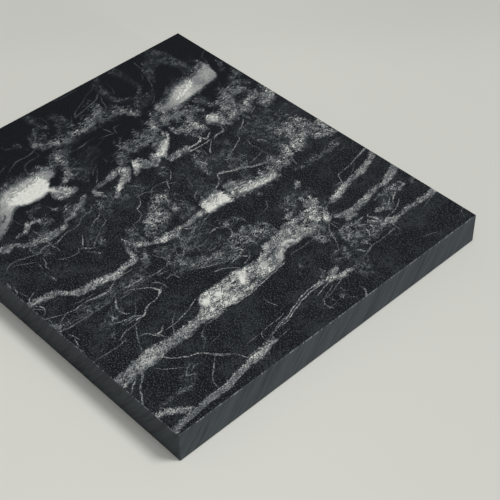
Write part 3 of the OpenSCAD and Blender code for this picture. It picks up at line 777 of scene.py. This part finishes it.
def add_world():
    world = bpy.data.worlds.new("studio")
    world.use_nodes = True
    bpy.context.scene.world = world
    background = world.node_tree.nodes["Background"]
    background.inputs["Color"].default_value = (WORLD_GREY, WORLD_GREY, WORLD_GREY, 1)
    background.inputs["Strength"].default_value = WORLD_STRENGTH


class Nodes:
    """A new material, with short ways to add and join its nodes. Values are sockets or numbers."""

    def __init__(self, name):
        self.material = bpy.data.materials.new(name)
        self.material.use_nodes = True
        self.tree = self.material.node_tree
        self.shader = self.tree.nodes["Principled BSDF"]

    def put(self, value, socket):
        if isinstance(value, bpy.types.NodeSocket):
            self.tree.links.new(value, socket)
        else:
            socket.default_value = value

    def add(self, kind, *values, **settings):
        """A new node of this kind, with the values in its first inputs."""
        node = self.tree.nodes.new("ShaderNode" + kind)
        for name, setting in settings.items():
            setattr(node, name, setting)
        for value, socket in zip(values, node.inputs):
            self.put(value, socket)
        return node

    def complete(self, base_colour, roughness, specular=SPECULAR):
        self.put(base_colour, self.shader.inputs["Base Color"])
        self.shader.inputs["Roughness"].default_value = roughness
        self.shader.inputs["Specular IOR Level"].default_value = specular
        return self.material

    def math(self, operation, *values, clamp=False):
        return self.add("Math", *values, operation=operation, use_clamp=clamp).outputs[0]

    def highest(self, value, *others):
        for other in others:
            value = self.math("MAXIMUM", value, other)
        return value

    def product(self, value, *others):
        for other in others:
            value = self.math("MULTIPLY", value, other)
        return value

    def weighted(self, base, *parts):
        """The base plus, for each part (value, weight), the value times its weight."""
        for value, weight in parts:
            base = self.math("MULTIPLY_ADD", value, weight, base)
        return base

    def vector(self, operation, *values):
        return self.add("VectorMath", *values, operation=operation).outputs[0]

    def dot(self, vector, direction):
        return self.add("VectorMath", vector, direction, operation="DOT_PRODUCT").outputs["Value"]

    def join(self, *parts):
        return self.add("CombineXYZ", *parts).outputs[0]

    def split(self, vector):
        return self.add("SeparateXYZ", vector).outputs

    def noise(self, vector, size, detail=2.0, roughness=0.5, distortion=0.0, output="Fac"):
        """Noise with features of about this size, in the units of the vector."""
        node = self.add("TexNoise", vector, noise_dimensions="3D")
        node.inputs["Scale"].default_value = 1 / size
        node.inputs["Detail"].default_value = detail
        node.inputs["Roughness"].default_value = roughness
        node.inputs["Distortion"].default_value = distortion
        return node.outputs[output]

    def swing(self, vector, size, detail=2.0, roughness=0.5):
        """Noise from about -1 to 1."""
        level = self.noise(vector, size, detail, roughness)
        return self.ramp(level, 0.35, 0.65, -1.0, 1.0, smooth=False)

    def ramp(self, value, low, high, out_low=0.0, out_high=1.0, smooth=True):
        kind = "SMOOTHSTEP" if smooth else "LINEAR"
        return self.add("MapRange", value, low, high, out_low, out_high, interpolation_type=kind).outputs[0]

    def colours(self, value, steps):
        node = self.add("ValToRGB", value)
        elements = node.color_ramp.elements
        while len(elements) < len(steps):
            elements.new(0.5)
        for element, (place, bytes3) in zip(elements, steps):
            element.position = place
            element.color = colour(bytes3)
        return node.outputs["Color"]

    def board_place(self):
        """The shaded point in millimetres of the board."""
        node = self.add("VectorMath", self.add("TexCoord").outputs["Object"], operation="SCALE")
        node.inputs["Scale"].default_value = 1 / MM
        return node.outputs[0]


def runs(points, along):
    """Whether the points go one way only along this axis."""
    steps = [after[along] - before[along] for before, after in zip(points, points[1:])]
    return all(step > 0.2 for step in steps) or all(step < -0.2 for step in steps)


def split_turns(points):
    """Cuts a stroke where it turns back, into pieces that are each a graph over X or over Y."""
    pieces = []
    start = 0
    while start < len(points) - 1:
        end = start + 1
        while end < len(points) - 1 and any(runs(points[start:end + 2], axis) for axis in (0, 1)):
            end += 1
        pieces.append(points[start:end + 1])
        start = end
    return pieces or [points]


def taper(points, length):
    """The stroke drawn out to a faint point at both ends."""
    if len(points) < 2:
        return points
    tips = []
    for end, inner in ((points[0], points[1]), (points[-1], points[-2])):
        run_x, run_y = end[0] - inner[0], end[1] - inner[1]
        share = length / math.hypot(run_x, run_y)
        tips.append((end[0] + run_x * share, end[1] + run_y * share, TIP_WIDTH, TIP_STRENGTH))
    return [tips[0]] + list(points) + [tips[1]]


def best_axis(points):
    """0 if the piece is drawn as a graph over X, 1 if it is one over Y."""
    reach = [abs(points[-1][axis] - points[0][axis]) for axis in (0, 1)]
    choice = 0 if reach[0] > reach[1] else 1
    return choice if runs(points, choice) or len(points) < 2 else 1 - choice


def stroke_knots(points, along, slope, thin):
    """The piece as rising knots (place, centre, reach, strength), with an empty one past each end.

    The reach is the height at the centre line of the ramp that falls away on both sides."""
    across = 1 - along
    ordered = sorted(points, key=lambda point: point[along])
    knots = []
    for index, point in enumerate(ordered):
        before = ordered[max(index - 1, 0)]
        after = ordered[min(index + 1, len(ordered) - 1)]
        rise = (after[across] - before[across]) / max(after[along] - before[along], 0.1)
        slant = min(math.hypot(1, rise), MOST_SLANT)
        half_width, strength = point[2] * thin, point[3]
        knots.append((point[along], point[across], half_width * slant * slope + strength / 2, strength))
    share = 1.5 if len(ordered) == 1 else 0.6
    first, last = knots[0], knots[-1]
    lead = first[0] - max(0.5, share * ordered[0][2])
    tail = last[0] + max(0.5, share * ordered[-1][2])
    return [(lead, first[1], -3 * slope, 0)] + knots + [(tail, last[1], -3 * slope, 0)]


def share_lanes(pieces, along, slope, thin):
    """Packs pieces that don't overlap along their axis into as few lanes as that takes."""
    lanes = []
    for knots in sorted(stroke_knots(points, along, slope, thin) for points in pieces):
        for lane in lanes:
            if lane[-1][0] + LANE_SPACE < knots[0][0]:
                lane.extend(knots)
                break
        else:
            lanes.append(list(knots))
    return lanes


def lane_curves(nodes, lane, place3):
    """The centre, reach and strength of the lane's strokes at this place along them."""
    node = nodes.add("VectorCurve")
    mapping = node.mapping
    mapping.use_clip = False
    for channel in range(3):
        curve = mapping.curves[channel]
        curve.points[0].location = (lane[0][0], lane[0][channel + 1])
        curve.points[1].location = (lane[-1][0], lane[-1][channel + 1])
        for knot in lane[1:-1]:
            curve.points.new(knot[0], knot[channel + 1])
        for point in curve.points:
            point.handle_type = "AUTO_CLAMPED"
    mapping.update()
    nodes.put(place3, node.inputs["Vector"])
    # Dot products pick the parts, because a separating node here would use up the renderer's stack
    return [nodes.dot(node.outputs[0], part) for part in ((1, 0, 0), (0, 1, 0), (0, 0, 1))]


def lane_value(nodes, lane, place3, across, slope, soft):
    """How strongly the lane's strokes colour a point: at most their strength, fading at the sides.

    They fall away with this slope, and with the soft one on the side that its sign stands for."""
    centre, reach, strength = lane_curves(nodes, lane, place3)
    offset = nodes.math("SUBTRACT", across, centre)
    if soft:
        half = nodes.math("MULTIPLY", strength, 0.5)
        soft_reach = nodes.weighted(half, (nodes.math("SUBTRACT", reach, half), abs(soft) / slope))
        gentle = nodes.weighted(soft_reach, (offset, -soft))
        steep = nodes.weighted(reach, (offset, math.copysign(slope, soft)))
        height = nodes.math("MINIMUM", gentle, steep)
    else:
        height = nodes.weighted(reach, (nodes.math("ABSOLUTE", offset), -slope))
    return nodes.math("MINIMUM", height, strength)


def draw_strokes(nodes, strokes, x, y, slope, thin=1.0, tip=0.0, soft=0.0):
    """The strongest of all these strokes at a point, below 0 beside them.

    The soft side is the one at the back left."""
    value = -10.0
    pieces = []
    for stroke in strokes:
        points = [(px, py, tenths / 10, percent / 100) for px, py, tenths, percent in stroke]
        pieces += split_turns(taper(points, tip) if tip else points)
    for along in (0, 1):
        chosen = [points for points in pieces if best_axis(points) == along]
        place, across = (x, y) if along == 0 else (y, x)
        spread = nodes.join(place, place, place)
        soft_side = soft if along == 0 else -soft
        for lane in share_lanes(chosen, along, slope, thin):
            value = nodes.highest(value, lane_value(nodes, lane, spread, across, slope, soft_side))
    return value


def sort_strokes(strokes, front):
    """The strokes that begin at the left or, in the middle, behind this Y, and then all the others."""
    loose, firm = [], []
    for stroke in strokes:
        x, y = stroke[0][:2]
        at_back_left = (x < 16 and y > front) or (x < -33 and y > -23)
        (loose if at_back_left else firm).append(stroke)
    return loose, firm


def grain_place(nodes, place, angle, across, along, offset):
    """The place measured across and along a grain at this angle, in steps of these lengths."""
    slant = math.radians(angle)
    sideways = nodes.dot(place, (math.sin(slant), -math.cos(slant), 0))
    lengthways = nodes.dot(place, (math.cos(slant), math.sin(slant), 0))
    sideways = nodes.weighted(offset, (sideways, 1 / across))
    return nodes.join(sideways, nodes.weighted(offset, (lengthways, 1 / along)))


def fibres(nodes, place, angle, offset):
    """Short fibres, from 0 between them to 1 on them."""
    level = nodes.noise(grain_place(nodes, place, angle, 0.5, 1.7, offset), 1.0, 1, 0.55, 0.4)
    return nodes.ramp(level, 0.38, 0.66)


def hair_lines(nodes, place, angle, across, along, width, offset):
    """Thin long lines, where a stretched noise crosses its middle."""
    level = nodes.noise(grain_place(nodes, place, angle, across, along, offset), 1.0, 1, 0.4, 0.6)
    ridge = nodes.math("ABSOLUTE", nodes.math("SUBTRACT", level, 0.5))
    return nodes.ramp(ridge, width * 0.3, width, 1.0, 0.0)


def wandering(nodes, place, *pushes):
    """The place pushed about by noise, for each push (size of the noise, length), with its X and Y."""
    moved = place
    for size, length in pushes:
        push = nodes.vector("SUBTRACT", nodes.noise(place, size, 2, 0.6, output="Color"), (0.5, 0.5, 0.5))
        moved = nodes.vector("MULTIPLY_ADD", push, (length, length, 0), moved)
    x, y = nodes.split(moved)[:2]
    return moved, x, y


class Stone:
    """The textures and the frayed places that the parts of the decor share."""

    def __init__(self, nodes, place):
        self.place = place
        self.wander, self.x, self.y = wandering(nodes, place, (5.0, 1.8), (1.3, 1.1))
        self.vein_x, self.vein_y = wandering(nodes, place, (5.0, 1.3), (0.8, 0.6))[1:]
        self.grain = nodes.ramp(self.x, -50.0, -5.0, 0.55, 1.1)
        self.patches = nodes.swing(place, 8.0)
        self.grit = nodes.product(nodes.swing(place, 0.5, 1, 0.6), self.grain)
        self.mottle = nodes.swing(nodes.vector("MULTIPLY", self.wander, (1.0, 0.6, 1.0)), 2.0, 3, 0.65)
        # Fibres slant in some patches and stand upright in the others
        weave = nodes.ramp(nodes.noise(place, 4.0, 1), 0.44, 0.56)
        slanted = fibres(nodes, self.wander, 135, 0.0)
        self.upright = fibres(nodes, self.wander, 85, 31.0)
        rest = nodes.math("SUBTRACT", 1.0, weave)
        self.fibre = nodes.weighted(nodes.product(slanted, weave), (self.upright, rest))
        hairs = nodes.highest(hair_lines(nodes, self.wander, 125, 1.2, 4.2, 0.07, 11.0),
                              hair_lines(nodes, self.wander, 85, 1.3, 6.0, 0.07, 23.0))
        loops = hair_lines(nodes, self.wander, 45, 2.3, 4.0, 0.045, 37.0)
        self.hairs = nodes.highest(nodes.product(hairs, 0.85), loops)
        # Fibres fray the strokes' edges, most of all at the left
        swing = nodes.math("SUBTRACT", self.fibre, FIBRE_MIDDLE)
        self.comb = nodes.product(swing, 0.45)
        fray = nodes.product(swing, nodes.ramp(self.x, -30.0, 5.0, 2.2, 1.2))
        self.x_frayed = nodes.math("ADD", self.x, fray)
        nick = nodes.weighted(nodes.product(self.grit, 0.15), (fray, 0.4))
        self.x_nicked = nodes.math("ADD", self.x, nick)
        self.y_nicked = nodes.weighted(self.y, (nick, -0.6))


def loose_bands(nodes, stone, strokes):
    """Bands that are broken into streaks, with a gentle side."""
    streak = nodes.math("SUBTRACT", stone.upright, FIBRE_MIDDLE)
    x_streaked = nodes.weighted(stone.x, (stone.grit, 0.3), (streak, 2.4))
    loose = draw_strokes(nodes, strokes, x_streaked, stone.y_nicked, 0.8, 0.85, tip=1.0, soft=0.4)
    broken_up = nodes.ramp(nodes.noise(stone.place, 3.2, 2, 0.6), 0.38, 0.6, 0.5, 1.25)
    return nodes.weighted(nodes.product(loose, broken_up), (streak, 0.45))


def band_look(nodes, stone, band):
    """The bands: fibrous and cracked, with broken bright rims."""
    cracks = hair_lines(nodes, stone.wander, 100, 1.7, 4.2, 0.1, 51.0)
    blotch = nodes.swing(stone.wander, 4.5)
    body = nodes.weighted(0.95, (stone.grit, 0.42), (stone.fibre, 0.36), (stone.mottle, 0.25),
                          (blotch, 0.18), (cracks, -0.5), (stone.hairs, -0.35))
    rim = nodes.ramp(nodes.math("ABSOLUTE", nodes.math("SUBTRACT", band, 0.3)), 0.05, 0.2, 0.3, 0.0)
    beads = nodes.weighted(0.9, (stone.grit, 0.5), (stone.mottle, 0.6))
    return nodes.highest(nodes.product(nodes.highest(band, 0.0), body), nodes.product(rim, beads))


def milky_look(nodes, stone, milky):
    body = nodes.weighted(0.9, (stone.fibre, 0.22), (stone.mottle, 0.12))
    return nodes.product(nodes.highest(milky, 0.0), body)


def core_look(nodes, stone):
    """The whitest stone, combed by fibres at the back left and crisp elsewhere."""
    loose, firm = sort_strokes(CORES, LOOSE_CORES_FRONT)
    combed = draw_strokes(nodes, loose, stone.x_nicked, stone.y_nicked, 0.5, soft=0.16)
    combed = nodes.math("ADD", combed, nodes.highest(stone.comb, 0.0))
    core = nodes.highest(combed, draw_strokes(nodes, firm, stone.x_nicked, stone.y_nicked, 0.5, 0.9))
    body = nodes.weighted(0.92, (stone.fibre, 0.18), (stone.grit, 0.06))
    return nodes.product(nodes.highest(core, 0.0), body)


def cloud_look(nodes, stone, loose, firm, milky):
    """Dim fibres with bright hairs, in the clouds and as a fringe round the bands and milky stone."""
    cloud = nodes.math("SUBTRACT", draw_strokes(nodes, CLOUDS, stone.x_frayed, stone.y, 0.1), 0.07)
    around = nodes.highest(loose, nodes.product(milky, 3.0))
    fringe = nodes.ramp(around, -1.6, 0.1, 0.0, 0.24)
    firm_fringe = nodes.ramp(firm, -1.0, 0.1, 0.0, 0.22)
    cloud = nodes.highest(cloud, fringe, firm_fringe, 0.0)
    clumps = nodes.ramp(nodes.noise(stone.wander, 2.4, 2, 0.6), 0.4, 0.6, 0.4, 1.35)
    share = nodes.ramp(stone.x, -30.0, 5.0, 0.75, 0.45)
    dust = nodes.product(nodes.weighted(0.04, (stone.fibre, share), (stone.grit, 0.25)), clumps)
    lines = nodes.product(stone.hairs, nodes.weighted(1.6, (stone.grit, 0.7)),
                          nodes.weighted(0.4, (clumps, 0.6)))
    lines = nodes.weighted(dust, (lines, stone.grain))
    return nodes.product(cloud, lines, nodes.weighted(1.0, (stone.patches, 0.25)))


def vein_look(nodes, stone):
    """Veins are beaded, and dimmer at the left."""
    vein = draw_strokes(nodes, VEINS, stone.vein_x, stone.vein_y, 1.5, 0.45, tip=1.5)
    beads = nodes.weighted(0.9, (stone.grit, 0.65), (stone.mottle, 0.3))
    return nodes.product(nodes.highest(vein, 0.0), beads, nodes.ramp(stone.grain, 0.6, 1.0, 0.6, 1.0))


def ground_look(nodes, stone):
    """A trace of the same hairs in the black ground, with bright specks."""
    speck = nodes.ramp(stone.grit, 0.15, 1.2, 0.0, 0.22)
    faint = nodes.product(stone.hairs, nodes.ramp(stone.patches, -0.5, 1.0, 0.0, 0.13))
    return nodes.highest(speck, nodes.product(faint, nodes.ramp(stone.grain, 0.6, 1.0)))


def decor_strength(nodes, place):
    """The stone pattern as one number, from 0 in the black ground to 1 in the white."""
    stone = Stone(nodes, place)
    loose_strokes, firm_strokes = sort_strokes(BANDS, LOOSE_BANDS_FRONT)
    loose = loose_bands(nodes, stone, loose_strokes)
    firm = draw_strokes(nodes, firm_strokes, stone.x_nicked, stone.y_nicked, 1.2, 0.9, tip=1.5)
    milky = draw_strokes(nodes, MILKY, stone.x_nicked, stone.y_nicked, 0.5, soft=0.2)
    value = nodes.highest(
        cloud_look(nodes, stone, loose, firm, milky),
        band_look(nodes, stone, nodes.highest(loose, firm)),
        core_look(nodes, stone),
        milky_look(nodes, stone, milky),
        vein_look(nodes, stone),
    )
    shade = draw_strokes(nodes, SHADES, stone.x, stone.y, 0.9)
    value = nodes.product(value, nodes.math("SUBTRACT", 1.0, shade, clamp=True))
    return nodes.math("MAXIMUM", value, ground_look(nodes, stone), clamp=True)


def core_colour(nodes, place):
    """The sawn edge: streaks that follow the blade, and a little cloudiness."""
    x, y, z = nodes.split(place)
    facing = nodes.split(nodes.add("NewGeometry").outputs["True Normal"])
    facing_x = nodes.math("ROUND", facing[0])
    facing_y = nodes.math("ROUND", facing[1])
    # Distance along the side face, to the right as seen from outside
    along = nodes.math("SUBTRACT", nodes.product(y, facing_x), nodes.product(x, facing_y))
    share = nodes.math("DIVIDE", z, THICKNESS)
    lean = nodes.product(share, nodes.weighted(SAW_LEAN + SAW_BOW, (share, -SAW_BOW)))
    side = nodes.weighted(nodes.product(facing_y, 90.0), (facing_x, 50.0))
    mark = nodes.join(nodes.math("SUBTRACT", along, lean), nodes.product(z, 0.06), side)
    fine = nodes.noise(mark, 0.7, 2, 0.7)
    broad = nodes.noise(mark, 3.5, 2, 0.6)
    mixed = nodes.weighted(nodes.product(fine, 0.65), (broad, 0.35))
    level = nodes.ramp(mixed, 0.36, 0.58, 0.0, 0.8)
    # The eased top edges are lighter: partly burnished, partly a painted highlight where they face the
    # light
    burnish_and_highlight = nodes.ramp(z, THICKNESS - ARRIS, THICKNESS - ARRIS + 0.08, 0.0, 0.2)
    steps = [(0.0, CORE_STREAK), (0.8, CORE_COLOUR), (1.0, ARRIS_BURNISH_AND_HIGHLIGHT)]
    return nodes.colours(nodes.math("ADD", level, burnish_and_highlight), steps)


def decor_material():
    """The decor on the top, and just over the arris, where the black core begins."""
    nodes = Nodes("black_stone_decor")
    place = nodes.board_place()
    strength = decor_strength(nodes, place)
    decor = nodes.colours(strength, DECOR_STEPS)
    height = nodes.split(place)[2]
    paper = nodes.ramp(height, THICKNESS - 0.06, THICKNESS - 0.01, smooth=False)
    # On the arris the white veins show further down than the black ground
    over = nodes.ramp(height, THICKNESS - 0.25, THICKNESS - 0.1, smooth=False)
    over = nodes.product(over, nodes.math("MULTIPLY", strength, 2.0, clamp=True))
    mix = nodes.add("Mix", data_type="RGBA")
    nodes.put(nodes.highest(paper, over), mix.inputs["Factor"])
    nodes.put(core_colour(nodes, place), mix.inputs[6])
    nodes.put(decor, mix.inputs[7])
    return nodes.complete(mix.outputs[2], 0.5)


def core_material():
    nodes = Nodes("sawn_black_core")
    return nodes.complete(core_colour(nodes, nodes.board_place()), 0.55)


def reverse_material():
    """The underside: plain black with a fine mottle."""
    nodes = Nodes("plain_black_reverse")
    level = nodes.ramp(nodes.noise(nodes.board_place(), 0.8, 3, 0.6), 0.3, 0.7)
    return nodes.complete(nodes.colours(level, [(0.0, REVERSE_DARK), (1.0, REVERSE_LIGHT)]), 0.5)


# The four sides as (start corner, direction along, direction outwards, length), in millimetres
SIDES = [
    ((-LENGTH / 2, -DEPTH / 2), (1, 0), (0, -1), LENGTH),
    ((LENGTH / 2, -DEPTH / 2), (0, 1), (1, 0), DEPTH),
    ((LENGTH / 2, DEPTH / 2), (-1, 0), (0, 1), LENGTH),
    ((-LENGTH / 2, DEPTH / 2), (0, -1), (-1, 0), DEPTH),
]


def saw_depth(side, mark, height):
    """How deep the blade has cut at this mark, in millimetres below the face."""
    drift = noise.noise(Vector((mark / 11, side * 7.3, height / 30)))
    teeth = 0.5 + 0.5 * math.sin(2 * math.pi * (mark / SAW_PITCH + 1.3 * drift))
    uneven = 0.5 + 0.5 * noise.noise(Vector((mark / 1.9, side * 3.1 + 20, height / 9)))
    return SAW_DEPTH * min(max(0.55 * teeth + 0.9 * uneven - 0.2, 0), 1)


def side_columns(side):
    """The side's grid as columns of (x, y, z, distance along), each column on one mark of the blade."""
    (start_x, start_y), (dir_x, dir_y), (out_x, out_y), length = SIDES[side]
    inner = THICKNESS - 2 * ARRIS
    heights = [0] + [ARRIS + inner * step / SAW_ROWS for step in range(SAW_ROWS + 1)] + [THICKNESS]
    first, last = ARRIS, length - ARRIS
    count = round((last - first + SAW_LEAN) / SAW_STEP)
    columns = []
    for index in range(count + 1):
        mark = first - SAW_LEAN + (last - first + SAW_LEAN) * index / count
        column = []
        for height in heights:
            share = height / THICKNESS
            along = min(max(mark + share * (SAW_LEAN + SAW_BOW * (1 - share)), first), last)
            inset = 0.0
            if height in (0, THICKNESS):
                inset = ARRIS
            elif first < along < last:
                inset = saw_depth(side, mark, height)
            x = start_x + dir_x * along - out_x * inset
            y = start_y + dir_y * along - out_y * inset
            column.append((x, y, height, along))
        columns.append(column)
    return columns


def bake_place(side, x, y, z, along):
    """Where a point lies in the flat layout used for baked pictures, as shares of its width."""
    if side == "top":
        return ((x + LENGTH / 2) / TOP_LAYOUT + 0.005, (y + DEPTH / 2) / TOP_LAYOUT + 0.005)
    if side == "base":
        return ((x + LENGTH / 2) / BASE_LAYOUT + 0.94, (y + DEPTH / 2) / BASE_LAYOUT + 0.93)
    left = 0.005 + (side % 2) * (0.45 if side >= 2 else 0.5)
    low = 0.88 + (side // 2) * 0.05
    return (left + along / SIDE_LAYOUT, low + z / SIDE_LAYOUT)


def add_face(shape, layer, corners, places, material):
    face = shape.faces.new(corners)
    face.material_index = material
    for loop, place in zip(face.loops, places):
        loop[layer].uv = place


def row_material(rows, row):
    """The decor material on the upper arris, which is the top row, and the core material below it."""
    return 0 if row == rows - 2 else 1


def add_sides(shape, layer):
    """The four sawn sides, and the narrow arris between each side and the next."""
    grids = []
    for side in range(4):
        columns = side_columns(side)
        verts = []
        for column in columns:
            verts.append([shape.verts.new((x * MM, y * MM, z * MM)) for x, y, z, along in column])
        places = [[bake_place(side, *point) for point in column] for column in columns]
        grids.append((verts, places))
        rows = len(verts[0])
        for column in range(len(verts) - 1):
            for row in range(rows - 1):
                picks = ((column, row), (column + 1, row), (column + 1, row + 1), (column, row + 1))
                corners = [verts[c][r] for c, r in picks]
                add_face(shape, layer, corners, [places[c][r] for c, r in picks], row_material(rows, row))
    for side, (verts, places) in enumerate(grids):
        following = grids[(side + 1) % 4][0][0]
        rows = len(following)
        for row in range(rows - 1):
            corners = (verts[-1][row], following[row], following[row + 1], verts[-1][row + 1])
            (u, v), (upper_u, upper_v) = places[-1][row], places[-1][row + 1]
            wide = MITRE_WIDTH / SIDE_LAYOUT
            beside = ((u, v), (u + wide, v), (upper_u + wide, upper_v), (upper_u, upper_v))
            add_face(shape, layer, corners, beside, row_material(rows, row))


def ring_at(shape, height):
    """The points at this height, anticlockwise as seen from above."""
    ring = [vert for vert in shape.verts if abs(vert.co.z - height) < 1e-7]
    half_x, half_y = LENGTH / 2 * MM, DEPTH / 2 * MM
    return sorted(ring, key=lambda vert: math.atan2(vert.co.y / half_y, vert.co.x / half_x))


def make_board():
    """One closed mesh: the sawn sides in columns along the saw marks, the top, the base and the arrises."""
    shape = bmesh.new()
    layer = shape.loops.layers.uv.new("OFBake")
    add_sides(shape, layer)
    bmesh.ops.remove_doubles(shape, verts=shape.verts, dist=1e-7)
    top_ring = ring_at(shape, THICKNESS * MM)
    base_ring = ring_at(shape, 0.0)
    for name, ring, material in (("top", top_ring, 0), ("base", base_ring[::-1], 2)):
        places = [bake_place(name, vert.co.x / MM, vert.co.y / MM, 0, 0) for vert in ring]
        add_face(shape, layer, ring, places, material)
    mesh = bpy.data.meshes.new("compact_board")
    shape.to_mesh(mesh)
    shape.free()
    for material in (decor_material(), core_material(), reverse_material()):
        mesh.materials.append(material)
    board = bpy.data.objects.new("compact_board", mesh)
    bpy.context.collection.objects.link(board)
    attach(board, "root")
    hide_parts(BOARD)


def floor_material():
    """Pale paper with painted shade, a little darker at the back and towards the right."""
    nodes = Nodes("floor_paper")
    place = nodes.add("TexCoord").outputs["Object"]
    azimuth = math.radians(CAMERA_AZIMUTH)
    forward = nodes.dot(place, (math.sin(azimuth), -math.cos(azimuth), 0))
    right = nodes.dot(place, (math.cos(azimuth), math.sin(azimuth), 0))
    # Painted shade: the floor darkens towards the back and towards the right
    level = nodes.math("ADD", nodes.ramp(forward, -0.145, -0.085, 0.35, 0.7),
                       nodes.ramp(forward, -0.085, 0.13, 0.0, 0.22))
    level = nodes.math("SUBTRACT", level, nodes.ramp(right, 0.0, 0.13, 0.0, 0.36))
    return nodes.complete(nodes.colours(level, [(0.0, FLOOR_SHADED), (1.0, FLOOR_LIT)]), 0.9, specular=0.1)


def stage_floor():
    mesh = bpy.data.meshes.new("floor")
    ring = bmesh.new()
    bmesh.ops.create_circle(ring, cap_ends=True, segments=96, radius=FLOOR_RADIUS)
    ring.to_mesh(mesh)
    ring.free()
    mesh.materials.append(floor_material())
    floor = bpy.data.objects.new("floor", mesh)
    bpy.context.collection.objects.link(floor)


bpy.context.scene.view_settings.view_transform = "Standard"
add_camera()
stage_floor()
add_world()
for lamp in LAMPS:
    add_lamp(*lamp)
make_board()
